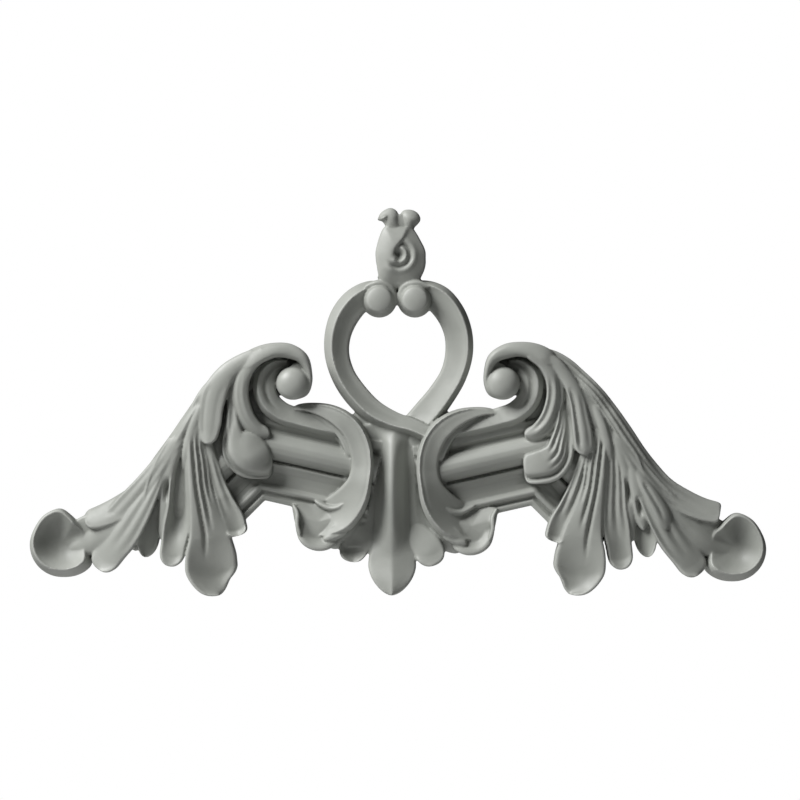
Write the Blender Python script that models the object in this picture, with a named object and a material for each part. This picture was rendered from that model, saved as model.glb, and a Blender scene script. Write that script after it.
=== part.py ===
"""Corner piece for a panel moulding: two acanthus wings over a mitred moulding, joined by a looped ribbon.

One cast piece with a flat back. Every form is drawn in millimetres on the face of the wall, x to the
right and z up, with its height standing off the wall towards the viewer (-Y). The wall plane is y = 0
and the origin is the middle of the back.
"""
import math

import bmesh
import bpy
import numpy as np

MM = 0.001
BEHIND = 5.0            # how far each form is drawn behind the wall plane before the back is cut flat
EDGE_RADIUS = 1.6       # rounding where a leaf turns down to its side
FUSE_STEP = 1.0         # grid on which the forms are fused into one casting
THINNING = 0.0262       # share of the fused facets that the casting keeps

# Heights off the wall that several forms share.
GROUND = 8.0
SCROLL = 19.0
RING = 26.0
ARCH = 31.0
LOOP = 17.5

# The run of moulding: its slope to the horizontal, and where the outer edge turns down under the leaves.
RUN_SLOPE = math.radians(12.8)
TURN_SLOPE = math.radians(45)
KNEE = (-80.0, -18.3)
RUN_LENGTH = 62.0
TURN_LENGTH = 24.0

# The right half is modelled a little lower than a true mirror of the left, as on the original.
RIGHT_RING_SHIFT = (-3.6, -2.6)
RIGHT_MOULDING_DROP = -3.2


def smooth(start, end, x):
    t = np.clip((x - start) / (end - start), 0, 1)
    return t * t * (3 - 2 * t)


def rounding(distance, radius):
    """Fall of a quarter-round edge at a distance in from the edge."""
    e = np.clip(1 - distance / radius, 0, 1)
    return radius * (1 - np.sqrt(1 - e * e))


def curve_through(rows, places, knots):
    """Smooth curve through the rows at the given knots, read at the given places."""
    slope = np.gradient(rows, knots, axis=0)
    i = np.clip(np.searchsorted(knots, places, side="right") - 1, 0, len(knots) - 2)
    span = (knots[i + 1] - knots[i])[:, None]
    u = (places - knots[i])[:, None] / span
    return (rows[i] * (2 * u**3 - 3 * u**2 + 1) + slope[i] * span * (u**3 - 2 * u**2 + u)
            + rows[i + 1] * (3 * u**2 - 2 * u**3) + slope[i + 1] * span * (u**3 - u**2))


def skin(rings):
    """Closed solid through a row of closed sections with the same number of points."""
    count, points, _ = rings.shape
    faces = [tuple(range(points - 1, -1, -1)), tuple((count - 1) * points + j for j in range(points))]
    for i in range(count - 1):
        for j in range(points):
            k = (j + 1) % points
            faces.append((i * points + j, i * points + k, (i + 1) * points + k, (i + 1) * points + j))
    return rings.reshape(-1, 3), faces


def bent(u, hollow):
    """Section hollowed between raised rims, or domed where the hollow is negative."""
    return np.where(hollow > 0, -hollow * (1 - np.clip(np.abs(u) / 0.85, 0, 1) ** 2), hollow * u * u)


def crested(crest, inner_fall, outer_fall, flip=1):
    """Section of a strap: a crest near one edge, a short slope outside it and a long one inside, more
    hollowed where the spine's hollow is larger."""
    def section(u, hollow):
        x = flip * u - crest
        outside = np.clip(x / (1 - crest), 0, 1)
        inside = np.clip(-x / (1 + crest), 0, 1)
        slope = (1.6 + hollow) * inside - (0.6 + hollow) * inside * inside
        return -outer_fall * outside - inner_fall * slope
    return section


def ribbed(u, hollow):
    """Section of a round rib with hollowed sides where the fall is deep, and of a keel elsewhere."""
    roundness = np.clip((-hollow - 4) / 2.5, 0, 1)
    rib = np.sin(math.pi * u / 2) ** 2
    return hollow * (roundness * rib + (1 - roundness) * np.sqrt(u * u + 0.002))


def ribbon(spine, section=bent, tip=0.0, point=2.0, root=0.0, lip=0.0, grooves=(), flutes=None, tilt=(0, 0),
           drift=(0, 0), edge=EDGE_RADIUS, stations=90, across=41):
    """Solid leaf or strap along a spine of (x, z, half width, height, hollow) rows.

    tip and root are the lengths over which its ends close, point how blunt the tip is, lip how far
    the tip turns up. A groove is (place at root, place at tip, half width, depth, start, end), with
    places across the leaf from -1 to 1 and start and end as shares of its length. flutes are (count,
    depth, start, end) hollow channels side by side. tilt raises one side, from root
    to tip, and drift moves the far end.
    """
    rows = np.array(spine, float)
    rows[:, :2] += np.linspace(0, 1, len(rows))[:, None] * np.array(drift, float)
    knots = np.concatenate([[0], np.cumsum(np.linalg.norm(np.diff(rows[:, :2], axis=0), axis=1))])
    places = (1 - (1 - np.linspace(0, 1, stations)) ** (1.5 if tip else 1.0)) * knots[-1]
    line = curve_through(rows, places, knots)
    path, width, height, hollow = line[:, :2], np.maximum(line[:, 2], 0.01), line[:, 3:4], line[:, 4:5]
    run = np.concatenate([[0], np.cumsum(np.linalg.norm(np.diff(path, axis=0), axis=1))])
    share = (run / run[-1])[:, None]
    to_tip = np.clip((run - run[-1] + tip) / tip, 0, 1) if tip else np.zeros_like(run)
    width = width * np.maximum(1 - to_tip**point, 0) ** (1 / point)
    if root:
        width = width * np.sqrt(np.maximum(1 - np.clip(1 - run / root, 0, 1) ** 2, 0))
    u, w = np.meshgrid(np.sin(np.linspace(-math.pi / 2, math.pi / 2, across)), np.maximum(width, 0.02))
    rise = section(u, hollow) + u * (tilt[0] + (tilt[1] - tilt[0]) * share)
    for near, far, half, depth, start, end in grooves:
        fade = smooth(start - 0.06, start + 0.06, share) * (1 - smooth(end - 0.14, end + 0.02, share))
        rise = rise - depth * fade * np.exp(-(((u - near - (far - near) * share) * w / half) ** 2))
    if flutes:
        count, depth, start, end = flutes
        fade = smooth(start - 0.1, start + 0.1, share) * (1 - smooth(end - 0.25, end, share))
        rise = rise - depth * fade * (0.5 - 0.5 * np.cos(math.pi * count * (u + 1))) ** 0.8
    rise = rise + lip * smooth(0.2, 1.0, (to_tip[:, None] > 0) * (to_tip[:, None] + 0.35 * u * u))
    top = np.maximum(height + rise - rounding((1 - np.abs(u)) * w, edge), 0.5)
    ahead = np.gradient(path, axis=0)
    ahead /= np.linalg.norm(ahead, axis=1)[:, None]
    front = np.stack([path[:, :1] - ahead[:, 1:] * u * w, -top, path[:, 1:] + ahead[:, :1] * u * w], axis=2)
    sides = front[:, [-1, 0]].copy()
    sides[:, :, 1] = BEHIND
    return skin(np.concatenate([front, sides], axis=1))


def dish(centre, outline, surface, edge=EDGE_RADIUS, around=96, inward=30):
    """Solid round a centre. outline is a radius or (degrees, radius) rows.

    surface(share, angle, away) is its height at a share of the way out, an angle and a distance away.
    """
    angle = np.linspace(0, 360, around, endpoint=False)
    if np.isscalar(outline):
        radius = np.full(around, float(outline))
    else:
        rows = np.array(sorted(outline), float)
        turns = np.concatenate([rows - (360, 0), rows, rows + (360, 0)])
        radius = curve_through(turns[:, 1:], angle, turns[:, 0])[:, 0]
    a, share = np.meshgrid(np.radians(angle), np.linspace(0.003, 1, inward) ** 0.8)
    top = np.maximum(surface(share, a, share * radius) - rounding((1 - share) * radius, edge), 0.5)
    reach = radius * share
    front = np.stack([centre[0] + reach * np.cos(a), -top, centre[1] + reach * np.sin(a)], axis=2)
    back = front[-1:].copy()
    back[:, :, 1] = BEHIND
    return skin(np.concatenate([front, back]))


def mirrored(solid, shift=(0, 0)):
    points, faces = solid
    return points * (-1, 1, 1) + (shift[0], 0, shift[1]), [face[::-1] for face in faces]


def wing_ground():
    """Low ground that closes the gaps between the leaves and round the volute."""
    return [
        ribbon([(-68, 66, 4, 14, -1), (-85, 62, 7, 17, -1), (-98, 48, 8, 20.5, -1),
                (-107, 27, 11, 18.5, -1),
                (-119, 5, 14, 19, -1), (-127, -12, 20, 17, -1), (-129, -30, 23, 14, -1),
                (-130, -42, 25, 10, -1)],
               tip=4, point=4),
        ribbon([(-94, 63, 1.8, 23, 0), (-103.5, 56.5, 3.0, 25.4, 0), (-112, 48.5, 4.6, 26, 0),
                (-118.6, 37.5, 5.2, 25, 0), (-123.5, 24, 6.2, 22.8, 0),
                (-129, 10, 7.0, 20.5, 0)], tip=6, root=3),
        ribbon([(-70, 62, 6, 11, 0), (-81, 52, 9, 14, 0), (-83, 38, 8, 14, 0), (-80, 22, 8, 9, 0)]),
        ribbon([(-168, -28, 7, 10, 0), (-182, -35, 8, 10, 0), (-194, -41, 9, 8, 0)]),
        dish((-66, 56), 12, lambda share, angle, away: 15 + 0 * share),
        dish((-60, 57.5), 6.5, lambda share, angle, away: 24 + 0 * share),
    ]


def volute():
    """Band that rolls over the top of the wing into its eye, and the eye."""
    return [
        ribbon([(-61.8, 43.0, 1.2, 19, 0), (-55.6, 46.6, 1.8, 22.5, 0), (-53.6, 52, 1.9, 25, 0),
                (-53.8, 59, 2.1, 27.5, 0),
                (-57.4, 67.2, 3.4, 30, -1), (-64.5, 71.1, 4.4, 30.5, -1.5), (-73, 71.7, 4.4, ARCH, -1.5),
                (-80.5, 70.0, 5.0, ARCH, -1.5), (-87.8, 66.3, 5.3, 30.6, -1.5),
                (-93, 61.8, 5.0, 29, -1.5)],
               root=3, tip=4, tilt=(-2.5, 2.5), edge=2.6),
        dish((-62.9, 52), 9.9, lambda share, angle, away: 30.6 - 4.4 * share**2.4, edge=2.6),
    ]


def scroll_strap():
    """Second scroll inside the arch, which runs on as the moulding's top member."""
    return [ribbon([(-66, 64.2, 2.4, 18, 0), (-73.0, 63.0, 4.6, 20, 0), (-79.0, 57, 6.4, 21, 0),
                    (-80.2, 48.5, 6.8, 21.5, 0), (-77.2, 40.5, 6.8, 21.0, 0), (-70.5, 34.6, 6.6, 20.0, 0),
                    (-60, 31.0, 6.2, SCROLL, 0), (-48, 27.7, 5.8, SCROLL, 0), (-32, 24.3, 5.6, 18.5, 0)],
                   section=crested(-0.55, 3.6, 4.0), edge=1.2, grooves=[(0.2, 0.2, 1.1, 1.6, 0.0, 0.42)])]


def wing_leaves(side):
    """The wing's overlapping leaves. side is 0 for the left wing and 1 for the right one."""
    def off(x, z):
        return x * side, z * side

    crown = ribbon([(-86, 67.6, 5, 30.0, -1.5), (-94.6, 64.2, 4.8, 29.4, -1.5),
                    (-100.6, 59.3, 5.2, 28.8, -1.5),
                    (-105.4, 52.6, 6.6, 28.0, -1.2), (-109.0, 45, 7.6, 27.6, -1.0),
                    (-111.2, 36, 7.4, 27.2, -1.0),
                    (-111.9, 28, 6.2, 27.0, -1.0), (-112.6, 22, 4.8, 26.8, -1),
                    (-114.4, 15.8, 3.6, 26.4, -0.6)],
                   tip=6, point=1.9, tilt=(0.5, 3.8), drift=off(3.5, -6.5),
                   flutes=(2, 0.3 + 0.7 * side, 0.35, 1.0))
    strand = ribbon([(-93, 64.5, 2.0, 22, -1), (-103, 56.4, 2.8, 22.6 + 4 * side, -1),
                     (-111.6, 45.6, 3.2, 22.8 + 4 * side, -1),
                     (-118.4, 33.6, 3.2, 23 + 4 * side, -1), (-124.4, 21, 3.0, 21.8 + 4 * side, -1),
                     (-129.4, 9, 2.4, 22.4, -1), (-133.4, -2, 1.6, 19, -1)], tip=5, root=4)
    inner = ribbon([(-80, 70.4, 4.4, ARCH, -1), (-88, 64.2, 4.8, 30.3, -1.5), (-92.4, 56, 5.2, 29.4, -2),
                    (-93.9, 46.5, 5.6, 27.8, -2.2), (-92.6, 38, 6.2, 26.0, -2.2),
                    (-88.6, 29.6, 6.9, 23.4, -2.4),
                    (-81.8, 18.0, 6.6, 19.8, -2.4)],
                   tip=8, point=2.6, tilt=(1, 1.4), lip=0.6, drift=off(1.5, -0.6),
                   flutes=(3, 0.5 + 1.2 * side, 0.4, 1.0))
    folds = ribbon([(-97.0, 57, 2.0, 22.0, -1), (-100.4, 46, 2.8, 24.6, -1), (-100.2, 35, 3.8, 24.8, -1),
                    (-98.8, 26, 5.6, 25.2, -1), (-96.6, 17.5, 8.2, 25.0, -1.5),
                    (-94.0, 7.5, 10.0, 23.6, -3.5)],
                   root=3, tip=8, drift=off(1.0, -2.0),
                   grooves=[(-0.6, -0.5, 1.1, 2.4, 0.1, 0.8), (0.25, 0.08, 1.1, 2.4, 0.1, 0.78),
                            (0.9, 0.6, 1.0, 1.8, 0.3, 0.8)])
    lobe = [(-19, 18.5), (-3, 17.4), (17, 16.8), (32, 15.3), (57, 13), (90, 13), (124, 14.4),
            (158, 15.7), (184, 15.5),
            (207, 14.1), (232, 11.4), (265, 10.7), (295, 11.6), (321, 15.5), (331, 18.4)]

    def swollen(share, angle, away):
        low = smooth(0.1, 0.6, np.cos(angle - math.radians(285)))
        above = smooth(0.3, 0.95, np.sin(angle))
        fall = (5.4 - 2.4 * above) * share**2 + 2.4 * low * smooth(0.35, 0.8, share)
        return 24.0 - fall + 3.6 * low * smooth(0.8, 0.97, share)

    heart = dish((-93 + side, 6 - 3 * side), lobe, swollen, edge=0.8, inward=40)
    hook = ribbon([(-114.5, 18, 3, 22, -1), (-110.5, 3, 3.4, 21.5, -1.0), (-107, -9, 4.1, 20.5, -1),
                   (-102.8, -20, 5.2, 19.5, 0.8), (-98.8, -29, 6.4, 18.5, 1.8),
                   (-95.8, -39.4, 6.2, 18, 2)],
                  tip=5, point=3, lip=1.5, drift=off(2.2, -3.6), flutes=(3, 1.2, 0.2, 0.85))
    long = ribbon([(-117.5, 44, 1.6, 24.5, -1), (-119.6, 32, 2.6, 26.4, -1), (-121.3, 18, 4.4, 26, -1),
                   (-119.8, 4, 6.2, 25, -1.5), (-118.3, -11, 7.0, 24, -1.5),
                   (-115.4, -26, 9.4, 22.5, -1.5),
                   (-112.8, -40, 12.2, 20.5, 0.0), (-112.2, -51, 15.0, 19.6, 2.0),
                   (-111.6, -60, 15.6, 18.6, 3.2),
                   (-107.0, -74.8, 15.4, 16.6, 2.0)],
                  tip=19.5, root=4, point=1.4, lip=2.6, drift=off(4.0, 0.6),
                  grooves=[(-0.42, -0.36, 1.25, 3.2, 0.18, 0.82), (0.24, 0.22, 1.25, 3.2, 0.18, 0.74),
                           (0.82, 0.55, 1.3, 2.8, 0.25, 0.66)])
    cupped = ribbon([(-120.5, 36, 2.2, 24, 0.5), (-125.4, 22, 3.2, 24.8, 2), (-129.8, 8, 4.4, 23.5, 5),
                     (-131.0, -9, 6.0, 22.5, 6.5), (-131.2, -22, 7.0, 21.5, 6.5),
                     (-132.6, -34, 8.2, 20, 4),
                     (-134.6, -45, 7.6, 18.6, 1.5), (-136.8, -57.8, 7.2, 17.4, 0.5)],
                    tip=9, point=2.2, lip=1.2, drift=off(2.2, -1.8))
    teardrop = ribbon([(-126.5, 27, 2.4, 19.5, -1), (-131.8, 14, 3.2, 23.6, -1.5),
                       (-136.2, 1, 3.6, 22.8, -1.5),
                       (-138.4, -11, 4.2, 22, -1.5), (-139.4, -21, 3.9, 20.5, -1.5),
                       (-140.6, -31, 2.9, 18.5, -1.5),
                       (-142.2, -41.5, 1.8, 15.5, -1)],
                      tip=7, drift=off(1, -1), grooves=[(0.05, 0.05, 1.5, 4.2, 0.52, 0.76)])
    hollow = ribbon([(-134, 18, 3.5, 20.5, 0), (-141.0, 4, 4.4, 20, 1.5), (-145.2, -9, 5.2, 19, 2),
                     (-147.4, -21, 5.8, 18, 2.5), (-148.8, -32, 6.2, 16.5, 2.5),
                     (-151.4, -52.4, 6.8, 14, 1)],
                    tip=12, point=1.8, tilt=(-3.0, -4.4), drift=off(1.5, 0))
    shoulder = ribbon([(-84, 69.4, 3.0, 22, -1), (-92.5, 65.6, 4.2, 24, -1), (-100, 60.5, 4.4, 24.6, -1),
                       (-106.6, 54.8, 4.2, 24.2, -1), (-112.8, 48.6, 3.6, 25.4, -1),
                       (-117.4, 43.6, 3.0, 27, -1),
                       (-121.4, 38.0, 2.8, 26.6, -1), (-126.9, 29.4, 3.1, 25.8, -1.5),
                       (-133.2, 19, 3.6, 24, -1.5), (-140.6, 7.4, 4.8, 21.8, -1.5),
                       (-146.4, -2.4, 5.8, 19.6, -1.5),
                       (-155.6, -14.4, 6.8, 17.2, -1.2), (-166.6, -22.4, 6.8, 15.2, -1.2),
                       (-177.5, -27.6, 5.8, 13.8, -1.2),
                       (-187.8, -31.0, 4.6, 13, -1)],
                      tip=6, root=4, point=2.6, tilt=(1.5, 3.8), drift=off(-5.5, 4.5),
                      flutes=(2, 0.3 + 0.5 * side, 0.5, 1.0))
    stem = ribbon([(-124.5, 31, 2.2, 18.5, -1), (-130, 21.5, 3.6, 22.4, -1), (-138, 9, 4.8, 22.8, -1.2),
                   (-149.5, -8, 7.4, 21.4, -1.2),
                   (-160.5, -22.5, 9.6, 19.8, -1.0), (-172, -33.5, 9.4, 17.8, -1.2),
                   (-184, -41.6, 7.6, 15.2, -2.2),
                   (-195, -46.2, 6.4, 11.2, -2.6), (-206, -47.6, 5.4, 7.4, -1.5)],
                  tip=9, root=4, drift=off(0, -1), tilt=(3.4, 1.2),
                  flutes=(3, 0.3 + 0.5 * side, 0.3, 0.85))
    skirt = ribbon([(-133, 18, 2.6, 19.5, -1), (-142.5, 1, 4.6, 23.8, -1.2),
                    (-150.0, -14, 6.8, 23.2, -1.2),
                    (-158, -28, 8.8, 21.6, -1.0), (-165.5, -39.5, 9.6, 19.6, -1.0),
                    (-172.4, -48.5, 9.2, 17.6, -1),
                    (-179.4, -59.8, 8.0, 16, 0)],
                   tip=9, root=4, point=2.5, lip=0.8, tilt=(2.6, 3.0), drift=off(-1, -3),
                   flutes=(3, 0.35 + 0.6 * side, 0.3, 0.9))
    sliver = ribbon([(-151, -12, 2, 20.8, -1), (-154.2, -24, 2.8, 19.8, -1), (-156.4, -36, 3.4, 17, -1),
                     (-157.6, -48.6, 3.0, 14.5, -1)],
                    tip=6, tilt=(1, 1), drift=off(-2.5, 1), grooves=[(0.5, 0.5, 1.2, 1.6, 0.5, 0.95)])
    return [crown, strand, inner, folds, heart, hook, long, cupped, teardrop, hollow, shoulder, stem,
            skirt, sliver]


def end_cup(side):
    """Rolled end of the wing: a round cup, open towards the stem that runs into it."""
    rim, floor, mouth = 18.0, 9.0, 12.0

    def surface(share, angle, away):
        shaded = 0.5 - 0.5 * np.sin(angle - 0.35)
        turned = np.abs((angle + math.pi) % (2 * math.pi) - math.pi - 0.12)
        crest = 0.95 - 0.13 * shaded
        top = mouth + (rim - mouth - 1.5 * shaded) * smooth(0.25, 0.95, turned)
        inside = np.minimum(share / crest, 1)
        outside = np.clip((share - crest) / (1 - crest), 0, 1)
        return floor + (top - floor) * inside**2.3 - (1.5 + 9.0 * shaded) * outside

    outline = [(0, 17), (30, 17.9), (52, 16.6), (70, 18.0), (90, 20.7), (111, 19.8), (145, 17.7),
               (186, 18.1),
               (223, 19.1), (256, 20.1), (278, 20.7), (297, 21.8), (311, 22.6), (324, 22.8), (343, 19.5)]
    return [dish((-203, -44 - 2.6 * side), outline, surface, edge=1.0, inward=44)]


def moulding(side):
    """Run of panel moulding, mitred where it turns down under the leaves."""
    members = [(0, -BEHIND), (0, 7.0), (0.8, 8.2), (3.0, 8.6), (3.8, 7.2), (5.4, 7.2), (6.2, 9.6),
               (8.0, 10.6),
               (9.6, 9.6), (10.6, 8.2), (14, 8.2), (18, 8.9), (21.2, 10.6), (22.2, 11.6), (23.2, 11.6),
               (23.9, 9.0),
               (24.8, 9.0), (25.5, 12.6), (27.0, 15.6), (29.2, 17.8), (32.2, 19.0), (35.2, 19.0),
               (38.0, 17.6),
               (40.4, 15.2), (41.8, 11.4), (43.0, 11.0), (45.5, 13.4), (50, 14), (50, -BEHIND)]
    run = np.array([-math.cos(RUN_SLOPE), math.sin(RUN_SLOPE)])
    turn = np.array([-math.cos(TURN_SLOPE), -math.sin(TURN_SLOPE)])
    knee = np.array(KNEE) + (0, RIGHT_MOULDING_DROP * side)
    run_up, turn_up = np.array([run[1], -run[0]]), np.array([turn[1], -turn[0]])
    mitre = run_up + turn_up
    mitre /= mitre @ run_up
    rings = [[(origin[0] + up[0] * place, -height, origin[1] + up[1] * place) for place, height in members]
             for origin, up in ((knee - run * RUN_LENGTH, run_up), (knee, mitre),
                                (knee + turn * TURN_LENGTH, turn_up))]
    return [skin(np.array(rings))]


def ring():
    """C-scroll beside the pendant. Its strap widens into a shell with a curl and a lipped foot."""
    ground = ribbon([(-57, 33, 4, 12, 0), (-44, 29, 6, 13.5, 0), (-32, 20, 5, 14.5, 0),
                     (-26, 5, 6, 14, 0),
                     (-30, -14, 10, 10, 0), (-40, -28, 12, 9, 0)])
    strap = ribbon([(-62.5, 37.4, 1.4, 18, 0), (-56, 37.9, 2.3, 20, 0), (-49, 37.0, 3.4, 22, 0),
                    (-41, 34.6, 4.8, 24, 0), (-33.5, 30.4, 5.8, 25.5, 0), (-26.6, 23.4, 6.4, RING, 0),
                    (-22.6, 14.5, 6.6, RING, 0), (-21.2, 4, 6.5, RING, 0), (-22.8, -6.5, 7.2, RING, 0),
                    (-26.2, -14.2, 9.6, 23.6, 0.2), (-31.5, -21.2, 12.2, 20.4, 0.5),
                    (-38.0, -25.5, 14.0, 16.6, 0.7),
                    (-45.0, -27.5, 14.0, 13.0, 0.7), (-54.0, -29.0, 12.0, 8.0, 0.7)],
                   section=crested(0.76, 4.4, 5.0), root=3, across=61, stations=120, tilt=(-4.5, 5.0),
                   grooves=[(0.45, 0.6, 0.9, 0.6, 0.08, 0.8)])
    underside = ribbon([(-18.6, -12, 2.4, 12, -3), (-21.6, -22, 4.4, 12.5, -3), (-26.4, -31, 6.6, 13, -3),
                        (-32.6, -37.6, 8.0, 12.5, -3), (-39.0, -40.6, 7.4, 11.5, -3),
                        (-44.0, -41.0, 6.0, 11, -3)],
                       tip=5, root=3, tilt=(-5, -8), edge=2.6)
    rim_end = ribbon([(-30.5, -37.2, 1.4, 17.5, -1), (-36.5, -39.4, 2.0, 17.6, -1),
                      (-42.0, -40.8, 2.4, 17.2, -1),
                      (-44.6, -41.6, 2.4, 16.4, -1)], tip=2.6, point=2.2, root=4)
    fillet = ribbon([(-53, 33.8, 0.9, 16, 0), (-46, 31.0, 1.3, 17.6, 0), (-40.6, 27.0, 1.6, 18.6, 0),
                     (-35.0, 21.4, 1.8, 19.2, 0), (-31.6, 15.4, 1.8, 19.6, 0),
                     (-29.0, 8.6, 1.5, 19.4, 0)],
                    tip=3, root=3, edge=1.2)
    rim = [(0, 12), (40, 12), (90, 11), (120, 13), (147, 18.5), (165, 15.8), (185, 14.3), (205, 14.8),
           (225, 16.2),
           (250, 17.2), (270, 17.6), (290, 17.6), (308, 17), (330, 14)]

    def hollowed(share, angle, away):
        low = smooth(0.3, 0.95, -np.sin(angle + 0.2))
        return 12.8 + 4.0 * low * smooth(0.5, 0.88, share) - 5.0 * share * smooth(0.2, 0.9, np.sin(angle))

    foot = dish((-47.5, -31), rim, hollowed)
    foot_rim = ribbon([(-63.0, -20.5, 0.9, 14.5, 0), (-60.6, -25.5, 1.2, 16.5, 0),
                       (-60.4, -33, 1.2, 17.5, 0),
                       (-58.6, -39.4, 1.2, 17.5, 0)], tip=4, root=3, edge=0.9)
    curl = ribbon([(-50, -18.4, 1.2, 12, -1), (-46, -20.8, 1.5, 13.2, -1), (-41, -22.8, 1.6, 14.4, -1),
                   (-36.4, -22.4, 1.5, 16.0, -1), (-32.4, -20.0, 1.1, 17.4, -1)], root=3, tip=3, edge=1.2)
    return [ground, underside, strap, rim_end, fillet, foot, foot_rim, curl]


def pendant():
    """Stem and lobe that hang between the rings, over a low ground, with a side lobe at each hand."""
    ground = ribbon([(-1, 28, 19, GROUND, 0), (-3, 10, 23, GROUND, 0), (-3, -15, 24, GROUND, 0),
                     (-3.5, -36, 26, GROUND, 0), (-3.5, -46, 27, GROUND, 0)])
    plate = ribbon([(-3, 28, 18, 12.5, 0), (-2.5, 16, 16, 12, 0), (-3, 0, 15, 10, 0),
                    (-3.5, -20, 15, 8.5, 0),
                    (-3.5, -42, 20, 8, 0)])
    web = ribbon([(-28, 32, 2.5, 9, 0), (-20, 26, 5, 11, 0), (-12, 20, 5, 11, 0)])
    corner = dish((13, 18), 6.5, lambda share, angle, away: 13.5 + 0 * share)
    stem = ribbon([(-1.6, 27.5, 15, 15.5, -3), (-2.1, 22, 12.6, 16.2, -4.2),
                   (-2.8, 16.5, 11.0, 18.0, -6.5), (-3.4, 9, 10.6, 20, -9),
                   (-3.7, -5, 10.4, 21.5, -11.5), (-3.7, -20, 10.6, 20, -11),
                   (-3.6, -34, 11.0, 17.4, -8.5),
                   (-3.5, -44, 12.0, 15.4, -6), (-3.5, -51, 13.8, 14.6, -4), (-3.5, -57, 14.4, 15.6, -4),
                   (-3.6, -65, 14.4, 17.4, -4), (-3.8, -75.2, 13.6, 18, -3)],
                  section=ribbed, tip=19, point=1.75, across=61, lip=0.8)
    left = ribbon([(-15, -33, 4, 8, 0), (-21, -40, 8.0, 9, 0.5), (-26.4, -47.5, 8.6, 8.5, 1.5),
                   (-27.0, -55.4, 8.2, 8.5, 2)],
                  tip=8, point=2.2, lip=3.0)
    right = ribbon([(8, -33, 4, 8, 0), (13.4, -41, 8.2, 10.5, -0.5), (18.6, -49, 9.2, 12.5, -1),
                    (20.2, -57.8, 8.6, 12.5, -1)],
                   tip=9, point=2.2, lip=1.6)
    return [ground, plate, web, corner, stem, left, right]


def loop():
    """Ribbon loop over the pendant. Its left strap crosses over the right one into the right ring."""
    right = ribbon([(5.5, 109.5, 3, 15, 0), (14.5, 107.6, 6.6, 16, 0), (23.5, 103.2, 8.4, 17, 0),
                    (31.5, 94, 8.6, LOOP, 0),
                    (36, 83, 8.4, LOOP, 0), (36.8, 71, 8.3, LOOP, 0), (33.5, 57.5, 8.0, 17, 0),
                    (26.5, 45.5, 8.2, 15.5, 0),
                    (17.0, 33.5, 8.6, 13, 0), (8, 24, 8, 11, 0)],
                   section=crested(0.62, 7.0, 6.5), stations=110)
    left = ribbon([(-5.5, 109.5, 3, 15, 0), (-15.5, 107.3, 6.6, 16, 0), (-24.2, 102.0, 8.2, 17, 0),
                   (-32, 92.5, 8.5, LOOP, 0),
                   (-36, 82, 7.9, LOOP, 0), (-36.8, 71, 7.4, LOOP, 0), (-33.2, 57.5, 7.2, 18, 0),
                   (-25.5, 45.5, 7.4, 18.5, 0),
                   (-15.2, 35.4, 7.0, 19, 0), (-3, 29.2, 6.0, 20, 0), (9, 25.6, 5.0, 21.5, 0),
                   (18, 21.5, 4.6, 23, 0)],
                  section=crested(0.40, 6.0, 6.5, flip=-1), stations=120)
    def ball(share, angle, away):
        return 20.6 - 1.6 * share**2 - 11.0 * smooth(0.7, 1.02, share)

    ends = []
    for x, hand in ((-11.3, -1), (10.2, 1)):
        ends.append(dish((x, 102.2), 10.6, ball))
        ends.append(ribbon([(x + 9.0 * hand, 109.5, 1.6, 16, -1), (x, 112.0, 2.0, 17, -1),
                            (x - 6.6 * hand, 109.8, 1.9, 16, -1),
                            (x - 9.2 * hand, 104, 1.5, 14.5, -1),
                            (x - 9.0 * hand, 98.5, 1.0, 13, -1)], tip=3, root=3, edge=1.0))
    cleft = ribbon([(0.6, 116, 8, 10, 0), (0.2, 106, 6, 9, 0), (0.1, 99, 3, 8, 0)])
    neck = ribbon([(-12, 116.4, 1.3, 15, -1), (-6, 114.2, 1.8, 15.5, -1), (1, 112.2, 2.2, 15.5, -1),
                   (7, 113.6, 1.8, 15, -1),
                   (13.4, 115.2, 1.3, 14, -1)])
    return [right, left, cleft, neck] + ends


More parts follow.
